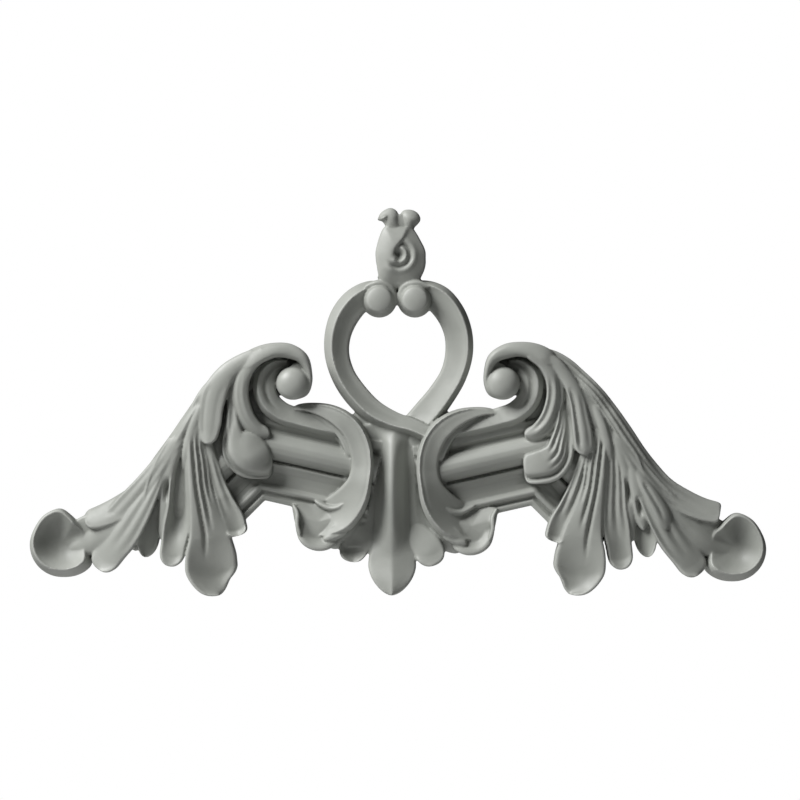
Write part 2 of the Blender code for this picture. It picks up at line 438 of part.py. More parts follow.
def bud():
    """Closed bud on the loop: a broad left petal over a right one that wraps round a curl, and two lips."""
    egg = [(4, 16.4), (15, 15.5), (33, 14.8), (55, 16.6), (66, 18.6), (76, 17.6), (90, 17.0),
           (105, 17.6), (116, 18.8),
           (123, 17.9), (135, 16.0), (152, 14.4), (172, 13.9), (191, 13.9), (212, 15.1), (228, 17.6),
           (240, 20),
           (270, 20), (300, 20), (322, 18.4), (342, 17.2), (355, 16.4)]

    def wrapped(share, angle, away):
        turn = angle % (2 * math.pi)
        lap = np.radians(72 + 240 * np.exp(-away / 2.6))
        petal = smooth(-0.16, 0.06, turn - lap) * (1 - smooth(math.radians(215), math.radians(275), turn))
        past_top = smooth(math.radians(60), math.radians(85), turn)
        before_foot = 1 - smooth(math.radians(200), math.radians(250), turn)
        wrap = 1 - past_top * before_foot
        ridges = 1.1 * np.exp(-((away - 4.4) / 1.2) ** 2) + 0.8 * np.exp(-((away - 9.8) / 1.7) ** 2)
        grooves = 1.2 * np.exp(-((away - 7.0) / 1.3) ** 2)
        hollow = 3.6 * np.exp(-((away / 2.7) ** 2))
        return 18.4 - 4.6 * share**2.4 + wrap * (ridges - grooves) - hollow + 2.2 * petal

    body = dish((0.3, 129), egg, wrapped, edge=1.0, inward=64)
    base = ribbon([(1.0, 108, 11.0, 12, -3), (1.2, 113, 12.0, 13.5, -3), (1.4, 119, 13.0, 14, -4)])
    throat = ribbon([(1.2, 142, 7.5, 14.6, -2), (1.2, 148, 6.6, 15.4, -1.5),
                     (1.0, 153.2, 4.6, 15.2, -1.5)], tip=3, point=3)
    left_outline = [(168, 7.2), (150, 6.9), (122, 6.5), (90, 6.7), (61, 6.3), (32, 5.6), (343, 5.2),
                    (305, 7.9), (270, 8.5),
                    (228.5, 4.8), (191, 5.1)]
    left_lip = dish((-4.5, 150.5), left_outline, lambda share, angle, away: 17.6 - 2.6 * share**2)
    notch = ribbon([(-12.4, 150.6, 0.6, 12, 0), (-9.5, 150.9, 1.2, 18.0, -1.5),
                    (-6.5, 152.4, 1.6, 18.2, -1)], root=2, tip=2)
    right_outline = [(0, 6.7), (18, 6.5), (57, 5.9), (93, 5.8), (127, 6.3), (162, 6.0), (205, 5.6),
                     (246, 8.2), (279, 7.6),
                     (305, 5.6), (334, 5.8)]
    right_lip = dish((6.8, 150.5), right_outline, lambda share, angle, away: 16.4 - 3.2 * share**2)
    return [body, base, throat, left_lip, notch, right_lip]


def all_forms():
    """Every closed form of the ornament, in millimetres, before they are fused."""
    forms = wing_ground() + volute() + scroll_strap() + wing_leaves(0) + end_cup(0) + moulding(0) + ring()
    right = wing_ground() + volute() + scroll_strap() + wing_leaves(1) + end_cup(1) + moulding(1)
    forms += [mirrored(form) for form in right] + [mirrored(form, RIGHT_RING_SHIFT) for form in ring()]
    return forms + pendant() + loop() + bud()


def box_behind_the_wall():
    """Cutter that trims everything behind the wall plane."""
    size = 1.0
    mesh = bpy.data.meshes.new("wall_cutter")
    bm = bmesh.new()
    bmesh.ops.create_cube(bm, size=size)
    bm.to_mesh(mesh)
    bm.free()
    cutter = bpy.data.objects.new("wall_cutter", mesh)
    cutter.location = (0, size / 2, 0)
    cutter.display_type = "WIRE"
    cutter.hide_render = True
    bpy.context.scene.collection.objects.link(cutter)
    return cutter


def primer():
    """Matt grey primer, as supplied for painting."""
    material = bpy.data.materials.new("grey_primer")
    material.use_nodes = True
    shader = material.node_tree.nodes["Principled BSDF"]
    shader.inputs["Base Color"].default_value = (0.30, 0.31, 0.285, 1)
    shader.inputs["Roughness"].default_value = 0.55
    shader.inputs["Metallic"].default_value = 0.0
    return material


def corner_ornament():
    """The casting: all forms fused, thinned to flat facets, and cut flat at the back."""
    points, faces, first = [], [], 0
    for form_points, form_faces in all_forms():
        points.append(form_points * MM)
        faces += [tuple(index + first for index in face) for face in form_faces]
        first += len(form_points)
    mesh = bpy.data.meshes.new("corner_ornament")
    mesh.from_pydata(np.concatenate(points).tolist(), [], faces)
    mesh.materials.append(primer())
    casting = bpy.data.objects.new("corner_ornament", mesh)
    bpy.context.scene.collection.objects.link(casting)
    fuse = casting.modifiers.new("fuse", "REMESH")
    fuse.mode = "VOXEL"
    fuse.voxel_size = FUSE_STEP * MM
    ease = casting.modifiers.new("ease", "SMOOTH")
    ease.factor = 0.5
    ease.iterations = 1
    thin = casting.modifiers.new("thin", "DECIMATE")
    thin.ratio = THINNING
    back = casting.modifiers.new("flat_back", "BOOLEAN")
    back.operation = "DIFFERENCE"
    back.solver = "EXACT"
    back.object = box_behind_the_wall()
    return casting


def clear_scene():
    for leftover in list(bpy.data.objects):
        bpy.data.objects.remove(leftover)


clear_scene()
corner_ornament()
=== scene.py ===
"""Looks of the moulding corner piece: the fine relief in grey primer, lit and framed as in the photograph.

The relief is one casting. Its forms follow the solid's and are drawn in millimetres on the wall plane,
x to the right and z up, with the height standing off the wall towards the viewer (-Y). Angles run from
x towards z.
"""
import math

import bmesh
import bpy
import numpy as np
from mathutils import Matrix, Vector


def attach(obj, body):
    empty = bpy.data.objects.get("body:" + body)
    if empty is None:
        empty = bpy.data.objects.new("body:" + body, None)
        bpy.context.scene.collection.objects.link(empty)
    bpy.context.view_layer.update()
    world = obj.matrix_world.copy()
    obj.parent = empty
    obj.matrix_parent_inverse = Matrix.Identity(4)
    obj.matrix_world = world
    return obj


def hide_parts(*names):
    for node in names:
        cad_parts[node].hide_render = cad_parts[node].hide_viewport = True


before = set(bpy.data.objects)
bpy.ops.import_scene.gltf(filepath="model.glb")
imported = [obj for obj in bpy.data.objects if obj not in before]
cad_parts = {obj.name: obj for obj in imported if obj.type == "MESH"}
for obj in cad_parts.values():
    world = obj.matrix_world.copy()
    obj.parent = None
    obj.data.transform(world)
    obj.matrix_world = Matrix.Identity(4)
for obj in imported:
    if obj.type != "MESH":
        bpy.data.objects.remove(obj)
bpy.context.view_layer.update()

MM = 0.001
BEHIND = 5.0            # how far each form is drawn behind the wall plane before the back is cut flat
EDGE_RADIUS = 1.6       # rounding where a leaf turns down to its side
FINE_STEP = 0.6         # grid on which the forms are fused for the fine relief
RELIEF_TRIANGLES = 188000  # left after thinning, before the back is cut flat
EASING = 2              # smoothing rounds that take out the grid's steps
RECESS_ROUNDS = 14      # how wide the surroundings are that a point's recess is measured against
BACK_EDGE_ANGLE = math.radians(60)

PRIMER_DARK = (0.275, 0.285, 0.262, 1)
PRIMER_LIGHT = (0.315, 0.325, 0.300, 1)
# Painted shade for the hollows, also the colour of the random dark specks.
PRIMER_SHADE_AND_SPECKS = (0.13, 0.137, 0.122, 1)
# Painted highlight for the crests.
PRIMER_CREST_HIGHLIGHT = (0.40, 0.41, 0.385, 1)

# The camera's frame at the piece, in metres, and the soft lights with their power in watts.
LENS = 250.0
SENSOR = 36.0
FRAME_CENTRE = (0.0012, 0.042)
FRAME_PLANE = -0.012
FRAME_WIDTH = 0.480
FLOOR_LEVEL = -0.7
FLOOR_RADIUS = 1.2
KEY_PLACE = (-1.5, -1.1, 1.5)
KEY_SIZE = 1.1
KEY_POWER = 92.0
FILL_PLACE = (0.75, -1.4, 0.35)
FILL_SIZE = 0.9
FILL_POWER = 0.9
SURROUND_LIGHT = 0.05
FLOOR_WHITE = (0.86, 0.86, 0.86, 1)
FLOOR_ROUGHNESS = 0.9
CAMERA_REACH = 50.0

# Heights off the wall that several forms share.
GROUND = 8.0
SCROLL = 19.0
RING = 26.0
ARCH = 31.0
LOOP = 17.5

# The run of moulding: its slope to the horizontal, and where the outer edge turns down under the leaves.
RUN_SLOPE = math.radians(12.8)
TURN_SLOPE = math.radians(45)
KNEE = (-80.0, -18.3)
RUN_LENGTH = 62.0
TURN_LENGTH = 24.0

# The right half is modelled a little lower than a true mirror of the left, as on the original.
RIGHT_RING_SHIFT = (-3.6, -2.6)
RIGHT_MOULDING_DROP = -3.2


def smooth(start, end, x):
    """Soft step from 0 at start to 1 at end."""
    t = np.clip((x - start) / (end - start), 0, 1)
    return t * t * (3 - 2 * t)


def rounding(distance, radius):
    """Fall of a quarter-round edge at a distance in from the edge."""
    e = np.clip(1 - distance / radius, 0, 1)
    return radius * (1 - np.sqrt(1 - e * e))


def curve_through(rows, places, knots):
    """Smooth curve through the rows at the given knots, read at the given places."""
    slope = np.gradient(rows, knots, axis=0)
    i = np.clip(np.searchsorted(knots, places, side="right") - 1, 0, len(knots) - 2)
    span = (knots[i + 1] - knots[i])[:, None]
    u = (places - knots[i])[:, None] / span
    return (rows[i] * (2 * u**3 - 3 * u**2 + 1) + slope[i] * span * (u**3 - 2 * u**2 + u)
            + rows[i + 1] * (3 * u**2 - 2 * u**3) + slope[i + 1] * span * (u**3 - u**2))


def skin(rings):
    """Closed solid through a row of closed sections with the same number of points."""
    count, points, _ = rings.shape
    faces = [tuple(range(points - 1, -1, -1)), tuple((count - 1) * points + j for j in range(points))]
    for i in range(count - 1):
        for j in range(points):
            k = (j + 1) % points
            faces.append((i * points + j, i * points + k, (i + 1) * points + k, (i + 1) * points + j))
    return rings.reshape(-1, 3), faces


def bent(u, hollow):
    """Section hollowed between raised rims, or domed where the hollow is negative."""
    return np.where(hollow > 0, -hollow * (1 - np.clip(np.abs(u) / 0.85, 0, 1) ** 2), hollow * u * u)


def crested(crest, inner_fall, outer_fall, flip=1):
    """Section of a strap: a crest near one edge, a short slope outside it and a long one inside, more
    hollowed where the spine's hollow is larger."""
    def section(u, hollow):
        x = flip * u - crest
        outside = np.clip(x / (1 - crest), 0, 1)
        inside = np.clip(-x / (1 + crest), 0, 1)
        slope = (1.6 + hollow) * inside - (0.6 + hollow) * inside * inside
        return -outer_fall * outside - inner_fall * slope
    return section


def rolled(u, hollow):
    """Domed section that falls away on one side and less than half as much on the other."""
    return hollow * u * u * np.where(u > 0, 0.4, 1)


def ribbed(u, hollow):
    """Section of a round rib with hollowed sides where the fall is deep, and of a keel elsewhere."""
    roundness = np.clip((-hollow - 4) / 2.5, 0, 1)
    rib = np.sin(math.pi * u / 2) ** 2
    return hollow * (roundness * rib + (1 - roundness) * np.sqrt(u * u + 0.002))


def ribbon(spine, section=bent, tip=0.0, point=2.0, root=0.0, lip=0.0, grooves=(), flutes=None, tilt=(0, 0),
           drift=(0, 0), edge=EDGE_RADIUS, stations=90, across=41):
    """Solid leaf or strap along a spine of (x, z, half width, height, hollow) rows.

    tip and root are the lengths over which its ends close, point how blunt the tip is, lip how far the tip
    turns up. A groove is (place at root, place at tip, half width, depth, start, end), with places across
    the leaf from -1 to 1 and start and end as shares of its length. flutes are (count, depth, start, end)
    hollow channels side by side. tilt is how far the side to the left of its way is raised, at root and
    at tip, and drift moves the far end.
    """
    rows = np.array(spine, float)
    rows[:, :2] += np.linspace(0, 1, len(rows))[:, None] * np.array(drift, float)
    knots = np.concatenate([[0], np.cumsum(np.linalg.norm(np.diff(rows[:, :2], axis=0), axis=1))])
    places = (1 - (1 - np.linspace(0, 1, stations)) ** (1.5 if tip else 1.0)) * knots[-1]
    line = curve_through(rows, places, knots)
    path, width, height, hollow = line[:, :2], np.maximum(line[:, 2], 0.01), line[:, 3:4], line[:, 4:5]
    run = np.concatenate([[0], np.cumsum(np.linalg.norm(np.diff(path, axis=0), axis=1))])
    share = (run / run[-1])[:, None]
    to_tip = np.clip((run - run[-1] + tip) / tip, 0, 1) if tip else np.zeros_like(run)
    width = width * np.maximum(1 - to_tip**point, 0) ** (1 / point)
    if root:
        width = width * np.sqrt(np.maximum(1 - np.clip(1 - run / root, 0, 1) ** 2, 0))
    u, w = np.meshgrid(np.sin(np.linspace(-math.pi / 2, math.pi / 2, across)), np.maximum(width, 0.02))
    rise = section(u, hollow) + u * (tilt[0] + (tilt[1] - tilt[0]) * share)
    for near, far, half, depth, start, end in grooves:
        fade = smooth(start - 0.06, start + 0.06, share) * (1 - smooth(end - 0.14, end + 0.02, share))
        rise = rise - depth * fade * np.exp(-(((u - near - (far - near) * share) * w / half) ** 2))
    if flutes:
        count, depth, start, end = flutes
        fade = smooth(start - 0.1, start + 0.1, share) * (1 - smooth(end - 0.25, end, share))
        rise = rise - depth * fade * (0.5 - 0.5 * np.cos(math.pi * count * (u + 1))) ** 1.3
    rise = rise + lip * smooth(0.2, 1.0, (to_tip[:, None] > 0) * (to_tip[:, None] + 0.35 * u * u))
    top = np.maximum(height + rise - rounding((1 - np.abs(u)) * w, edge), 0.5)
    ahead = np.gradient(path, axis=0)
    ahead /= np.linalg.norm(ahead, axis=1)[:, None]
    front = np.stack([path[:, :1] - ahead[:, 1:] * u * w, -top, path[:, 1:] + ahead[:, :1] * u * w], axis=2)
    sides = front[:, [-1, 0]].copy()
    sides[:, :, 1] = BEHIND
    return skin(np.concatenate([front, sides], axis=1))


def dish(centre, outline, surface, edge=EDGE_RADIUS, around=96, inward=30):
    """Solid round a centre. outline is a radius or (degrees, radius) rows.

    surface(share, angle, away) is its height at a share of the way out, an angle and a distance away.
    """
    angle = np.linspace(0, 360, around, endpoint=False)
    if np.isscalar(outline):
        radius = np.full(around, float(outline))
    else:
        rows = np.array(sorted(outline), float)
        turns = np.concatenate([rows - (360, 0), rows, rows + (360, 0)])
        radius = curve_through(turns[:, 1:], angle, turns[:, 0])[:, 0]
    a, share = np.meshgrid(np.radians(angle), np.linspace(0.003, 1, inward) ** 0.8)
    top = np.maximum(surface(share, a, share * radius) - rounding((1 - share) * radius, edge), 0.5)
    reach = radius * share
    front = np.stack([centre[0] + reach * np.cos(a), -top, centre[1] + reach * np.sin(a)], axis=2)
    back = front[-1:].copy()
    back[:, :, 1] = BEHIND
    return skin(np.concatenate([front, back]))


def domed(top, fall=0.0, power=2.0):
    """Surface for a dish: flat, or falling from its top towards the rim."""
    return lambda share, angle, away: top - fall * share**power


def mirrored(solid, shift=(0, 0)):
    """The solid on the other side of the middle, shifted sideways and up."""
    points, faces = solid
    return points * (-1, 1, 1) + (shift[0], 0, shift[1]), [face[::-1] for face in faces]


def wing_ground():
    """Low ground that closes the gaps between the leaves and round the volute."""
    bed = ribbon([(-68, 66, 4, 14, -1), (-85, 62, 7, 17, -1), (-98, 48, 8, 17.5, -1), (-104, 27, 8, 16, -1),
                  (-119, 5, 14, 19, -1), (-127, -12, 20, 17, -1), (-129, -30, 23, 14, -1),
                  (-130, -42, 25, 10, -1)], tip=4, point=4)
    under_crown = ribbon([(-94, 63, 1.8, 23, 0), (-103.5, 56.5, 3.0, 25.4, 0), (-112, 48.5, 4.6, 26, 0),
                          (-118.6, 37.5, 5.2, 25, 0), (-123.5, 24, 6.2, 22.8, 0), (-129, 10, 7.0, 20.5, 0)],
                         tip=6, root=3)
    beside_volute = ribbon([(-70, 62, 6, 11, 0), (-81, 52, 9, 14, 0), (-83, 38, 8, 14, 0),
                            (-80, 22, 8, 9, 0)])
    beside_cup = ribbon([(-168, -28, 7, 12, 0), (-184, -33, 7, 13, 0), (-194, -39, 8, 10, 0)])
    patches = [dish(centre, radius, domed(height)) for centre, radius, height in (
        ((-89.5, 26), 6, 20), ((-66, 56), 12, 15), ((-60, 57.5), 6.5, 24))]
    return [bed, under_crown, beside_volute, beside_cup] + patches


def volute(side):
    """Band that rolls over the top of the wing into its eye, and the eye."""
    band = ribbon([(-61.8, 43.0, 1.2, 19, 0), (-55.6, 46.6, 1.8, 22.5, 0), (-53.6, 52, 1.9, 25, 0),
                   (-53.8, 59, 2.1, 27.5, 0), (-57.4, 67.2, 3.4, 30, -1), (-64.5, 71.1, 4.4, 30.5, -1.5),
                   (-73, 71.9 + 0.5 * side, 4.4, ARCH, -1.5), (-80.5, 70.0 + 1.2 * side, 5.0, ARCH, -1.5),
                   (-87.8, 66.3 + 1.7 * side, 5.3, 30.6, -1.5), (-93, 61.8 + 1.8 * side, 5.0, 29, -1.5)],
                  root=3, tip=4, tilt=(-2.5, 2.5), edge=2.6)
    eye = dish((-62.9, 52), 9.9, domed(30.6, 4.4, 2.4), edge=2.6)
    return [band, eye]


def scroll_strap():
    """Second scroll inside the arch, which runs on as the moulding's top member."""
    return [ribbon([(-66, 64.2, 2.4, 18.5, 0), (-73.0, 63.0, 4.6, 21.4, 0), (-79.0, 57, 6.4, 23, 0),
                    (-80.2, 48.5, 6.8, 23.4, 0), (-77.2, 40.5, 6.8, 22.2, 0), (-70.5, 34.6, 6.6, 20.4, 0),
                    (-60, 31.0, 6.2, SCROLL, 0), (-48, 27.7, 5.8, SCROLL, 0), (-32, 24.3, 5.6, 18.5, 0)],
                   section=crested(-0.55, 3.6, 4.0), edge=1.2, grooves=[(0.05, 0.15, 1.1, 1.8, 0.0, 0.5)])]


def off(side, x, z):
    """How far a leaf's end of the right wing lies from where a true mirror of the left one would have it."""
    return x * side, z * side


def inner_leaves(side):
    """Leaves round the volute. side is 0 for the left wing and 1 for the right one."""
    crown = ribbon([(-86, 67.6, 5 - side, 30.0, -1.5), (-94.4, 64.2, 4.8 - 0.8 * side, 29.6, -1.5),
                    (-101.4 + 1.6 * side, 59.2, 5.4 - 1.4 * side, 29.2, -1.5),
                    (-106.6 + 1.8 * side, 52.2, 6.6 - 2.2 * side, 28.8, -1.4),
                    (-110.2 + 2.2 * side, 44.4, 7.6 - 2.8 * side, 28.4, -1.2),
                    (-111.8 + 2 * side, 36, 7.2 - 2 * side, 28.2, -1.0),
                    (-112.6 + 1.2 * side, 28, 7.0 - 1.2 * side, 28, -1.0),
                    (-113.2 + 0.8 * side, 22, 5.8, 27.6, -1),
                    (-115.2 + 2 * side, 15.9, 4.6 + 0.8 * side, 27.2, -0.6)], tip=5.5, point=2.1, edge=1.2,
                   tilt=(0.2, 1.0), drift=off(side, 1.5, -6.5),
                   grooves=[(0.5, 0.42, 1.3, 0.3 + 1.7 * side, 0.42, 0.98),
                            (-0.5, -0.55, 1.0, 0.5, 0.5, 0.98)])
    strand = ribbon([(-108, 50, 1.2, 20, -1), (-112, 46, 1.6, 23, -1), (-116.4, 40.2, 2.2, 26.2 - side, -1),
                     (-120.4, 31.6, 2.8, 26.8 - 0.6 * side, -1), (-123.8, 21.6, 3.0, 26, -1),
                     (-126.4, 10, 2.8, 24.0, -1), (-128.4, -2, 2.0, 18, -1)], tip=5, root=4)
    inner = ribbon([(-80, 70.4, 4.4, ARCH, -1), (-88, 64.2, 4.6, 30.3, -1.5), (-93, 56, 4.9, 29.2, -2),
                    (-94.6, 46.5, 5.2, 27.8, -2.0), (-93.4, 37.6, 5.4, 26.4, -2.0),
                    (-89.9, 29.4, 5.4, 24.8, -2.0), (-84.2, 23.6, 4.9, 22.8, -2.0),
                    (-77.0, 21.4, 3.8, 20.8, -1.5)], tip=5, point=2.4, tilt=(1, 1),
                   drift=off(side, 1.0, -0.8), flutes=(3 - side, 0.35 + 1.6 * side, 0.36, 1.0))
    heart = ribbon([(-96.5, 58, 1.6, 22, -1), (-99.0, 47, 2.4, 24.4, -1),
                    (-99.3 - 0.8 * side, 37, 3.0 + 0.8 * side, 25.2, -1),
                    (-99.0 - side, 28, 4.4 + side, 25.4, -1.4), (-98.2, 19, 7.0, 25.6, -2.2 - 0.6 * side),
                    (-96.0, 11.4, 9.2, 26.2, -3.6 + 0.2 * side),
                    (-91, 6.2, 10.4, 25.8 - 0.8 * side, -6.8 + 4 * side),
                    (-84, 4.5, 9.8, 23.4 + side, -5.4 + 3.4 * side),
                    (-75.4, 4.0, 8.6, 18.8 + 4.4 * side, -3 + side)], section=rolled, root=3, tip=5,
                   point=3.5, edge=2.0 - side, drift=off(side, 0, -3.4),
                   grooves=[(-0.6 + 0.22 * side, -0.8 + 0.14 * side, 1.5, 3.2, 0.5 - 0.2 * side, 1.4),
                            (-0.15, -0.25, 0.9 + 0.2 * side, 1.1 + 1.3 * side, 0.16, 0.56 + 0.26 * side),
                            (0.18, 0.16, 0.9 + 0.2 * side, 1.0 + 1.4 * side, 0.16, 0.5 + 0.3 * side),
                            (0.56, 0.6, 0.9 + 0.2 * side, 0.4 + 1.8 * side, 0.16, 0.42 + 0.3 * side)])
    if side:
        return [crown, strand, inner, heart]
    outline = [(0, 15), (45, 14.4), (75, 14), (105, 15), (135, 14.5), (160, 10.5), (180, 8.4), (225, 8.4),
               (270, 9.4), (315, 12.4)]

    def swelled(share, angle, away):
        towards_fold = smooth(-0.1, 0.9, np.cos(angle - math.radians(130)))
        return 26.4 - 5.4 * share**2 * (1 - 0.62 * towards_fold)

    return [crown, strand, inner, heart, dish((-91.5, 8.6), outline, swelled, edge=1.6)]


def hanging_leaves(side):
    """Leaves that hang from the middle of the wing: two broad ones, and narrow ones between and behind."""
    hook = ribbon([(-114.5, 18, 3, 22, -1), (-110.5, 3, 3.4, 21.5, -1.0), (-107, -9, 4.1, 20.5, -1),
                   (-102.8, -20, 5.2, 19.5, 0.8), (-98.8, -29, 6.4, 18.5, 1.8), (-95.8, -39.4, 6.2, 18, 2)],
                  tip=5, point=3, lip=1.5, drift=off(side, 2.2, -3.6),
                  flutes=(2, 1.0 + 0.6 * side, 0.2, 0.85))
    long = ribbon([(-117.5, 40, 1.6, 20, -1), (-119.6, 30, 2.8, 25.4 - 3 * side, -1),
                   (-121.0, 18, 4.4, 26 - side, -1), (-119.8, 4, 6.2, 25, -1.5),
                   (-118.3, -11, 7.0, 24, -1.5), (-115.4, -26, 9.4, 22.5, -1.5),
                   (-112.8, -40, 12.2, 20.5, 0), (-112.2, -51, 15.0, 19.6, 1.6),
                   (-111.8, -60, 15.6, 18.6, 2.6), (-110.0, -68, 15.4, 17.6, 2.4),
                   (-106.4, -74.8, 15.2, 16.6, 1.6)], tip=17.5, root=4, point=1.55, lip=1.8,
                  drift=off(side, 4.0, 0.6), tilt=(0, -4.0 + 2 * side),
                  grooves=[(-0.42, -0.16, 1.0, 3.0, 0.18, 0.8), (0.3, 0.1, 1.0, 2.8, 0.18, 0.66),
                           (0.85, 0.45, 1.0, 2.2, 0.2, 0.54)])
    cupped = ribbon([(-120.5, 36, 2.2, 24, 0.5), (-125.4, 22, 3.2, 24.4, 2),
                     (-129.8, 8, 4.4, 23.5, 5 - 4 * side), (-131.0, -9, 6.0, 22.5, 8 - 7 * side),
                     (-131.2, -22, 7.0, 21.5, 8 - 7 * side), (-132.6, -34, 8.2, 20, 5.5 - 4 * side),
                     (-134.6, -45, 7.6, 18.6, 2), (-136.8, -57.8, 7.2, 17.4, 0.5)], tip=9, point=2.2,
                    lip=1.2, drift=off(side, 2.2, -1.8), flutes=(3, 1.3 * side, 0.15, 0.85))
    teardrop = ribbon([(-126.5, 27, 2.4, 19.5, -1), (-131.8, 14, 3.2, 23.6, -1.5),
                       (-136.2, 1, 3.6, 22.8, -1.5), (-138.4, -11, 4.2, 22, -1.5),
                       (-139.4, -21, 3.9, 20.5, -1.5), (-140.6, -31, 2.9, 18.5, -1.5),
                       (-142.2, -41.5, 1.8, 15.5, -1)], tip=7, drift=off(side, 1, -1),
                      grooves=[(0.05, 0.05, 1.7, 4.4, 0.5, 0.7)])
    hollow = ribbon([(-134, 18, 3.5, 20.5, 0), (-141.0, 4, 4.4, 20, 1.5), (-145.2, -9, 5.2, 19, 2),
                     (-147.4, -21, 5.8, 18, 2.5), (-148.8, -32, 6.2, 16.5, 2.5),
                     (-151.4, -52.4, 6.8, 14, 1)], tip=12, point=1.8, tilt=(-3.0, -4.4),
                    drift=off(side, 1.5, 0))
    if not side:
        return [hook, long, cupped, teardrop, hollow]
    second = ribbon([(-134, 12, 2.4, 19, -1), (-140.2, -2, 3.4, 23.2, -1.4), (-143.6, -14, 4.2, 22.8, -1.4),
                     (-145.6, -25, 4.2, 21.6, -1.4), (-147.0, -36, 2.8, 19.0, -1)], tip=7,
                    grooves=[(0.05, 0.05, 1.6, 4.2, 0.62, 0.86)])
    return [hook, long, cupped, teardrop, second, hollow]


def outer_leaves(side):
    """Leaves that run down the wing's back to its rolled end."""
    high, wide = 4.2 * side, 1.8 * side
    shoulder = ribbon([(-84, 69.8 + 1.6 * side, 2.4, 21 + high, -1),
                       (-92.5, 66.0 + 1.9 * side, 2.8 + 0.4 * wide, 21 + high, -1),
                       (-100.5 + 0.6 * side, 60.6 + 1.6 * side, 2.6 + wide, 21.6 + high, -1),
                       (-108 + side, 54.6 + side, 2.4 + wide, 22 + high, -1),
                       (-114, 48.4, 2.3 + wide, 23.4 + high, -1),
                       (-118.6, 42.6, 2.4 + wide, 24.8 + 0.5 * high, -1),
                       (-122.2, 37.0, 2.6 + wide, 25.4, -1), (-127.2, 29.0, 3.1 + 1.6 * side, 25.4, -1.5),
                       (-133.2, 19, 3.8 + 1.2 * side, 24, -1.5), (-140.6, 7.4, 4.8, 21.8, -1.5),
                       (-146.4, -2.4, 5.8, 19.6, -1.5), (-155.6, -14.4, 6.8, 18.2, -1.2),
                       (-166.6, -22.4, 7.2, 16.6, -1.2), (-177.5, -27.6, 6.8, 15.6, -1.2),
                       (-187.8, -30.4, 5.6 + 0.6 * side, 14.8, -1)], tip=6, root=4, point=2.6 + 3 * side,
                      tilt=(1.0, 3.4), drift=off(side, -5.5, 4.5),
                      flutes=(3, 0.4 + 0.9 * side, 0.3 - 0.2 * side, 1.0))
    stem = ribbon([(-124.5, 31, 2.2, 18.5, -1), (-130, 21.5, 3.8, 23.6, -1), (-138, 9, 5.2, 23.4, -1.2),
                   (-149.5, -8, 7.4, 21.6, -1.2), (-160.5, -22.5, 9.6, 18.8, -1.0),
                   (-172, -34.0, 9.0, 16.6, -1.2), (-184, -42.0, 8.0, 14.0, -2.2),
                   (-195, -46.2, 6.8, 9.8, -2.6), (-206, -47.6, 5.4, 5.4, -1.5)], tip=9, root=4,
                  drift=off(side, 0, -1), tilt=(0.6, 1.2), flutes=(3, 0.6 + 0.5 * side, 0.25, 0.8))
    skirt = ribbon([(-131, 20, 2.0, 18, -1), (-141.5, 1, 3.6, 21.6, -1.2), (-149.6, -14, 6.2, 21.8, -1.2),
                    (-158, -28, 8.6, 20.8, -1.0), (-165.5, -39.5, 9.6, 19.4, -1.0),
                    (-172.4, -48.5, 9.2, 17.6, -1), (-179.4, -59.8, 8.0, 16, 0)], tip=9, root=4, point=2.5,
                   lip=0.8, tilt=(1.4, 3.0), drift=off(side, -1, -3),
                   flutes=(3, 0.7 + 0.6 * side, 0.22, 0.9))
    if side:
        sliver = ribbon([(-138, 10, 2.2, 19, -1), (-146.5, -6, 3.6, 23.6, -1.4),
                         (-153.2, -17, 4.6, 23.6, -1.4), (-158.2, -26, 4.8, 22.6, -1.2),
                         (-161.6, -35.2, 4.2, 20.4, -1)], tip=5, point=2.4, tilt=(1.5, 1.5),
                        grooves=[(0.1, 0.1, 1.1, 1.2, 0.4, 0.9)])
    else:
        sliver = ribbon([(-151, -12, 2, 20.8, -1), (-154.2, -24, 2.8, 19.8, -1), (-156.4, -36, 3.4, 17, -1),
                         (-157.6, -48.6, 3.0, 14.5, -1)], tip=6, tilt=(1, 1),
                        grooves=[(0.5, 0.5, 1.2, 1.6, 0.5, 0.95)])
    return [shoulder, stem, skirt, sliver]


def end_cup(side):
    """Rolled end of the wing: a round cup, open towards the stem that runs into it."""
    rim, floor, mouth = 18.0, 8.0, 12.0

    def surface(share, angle, away):
        shaded = 0.5 - 0.5 * np.sin(angle - 0.35)
        turned = np.abs((angle + math.pi) % (2 * math.pi) - math.pi - 0.12)
        crest = 0.92 - 0.16 * shaded
        top = mouth + (rim - mouth - 1.0 * shaded) * smooth(0.25, 0.95, turned)
        inside = np.minimum(share / crest, 1)
        outside = np.clip((share - crest) / (1 - crest), 0, 1)
        return floor + (top - floor) * inside**2.1 - (1.5 + 9.5 * shaded) * outside**1.4

    outline = [(0, 17), (30, 17.9), (52, 16.6), (70, 18.0), (90, 20.7), (111, 19.8), (145, 17.7),
               (186, 18.1), (223, 19.1), (256, 20.1), (278, 20.7), (297, 21.8), (311, 22.6), (324, 22.8),
               (343, 19.5)]
    return [dish((-203, -44 - 2.6 * side), outline, surface, edge=1.0, inward=44)]


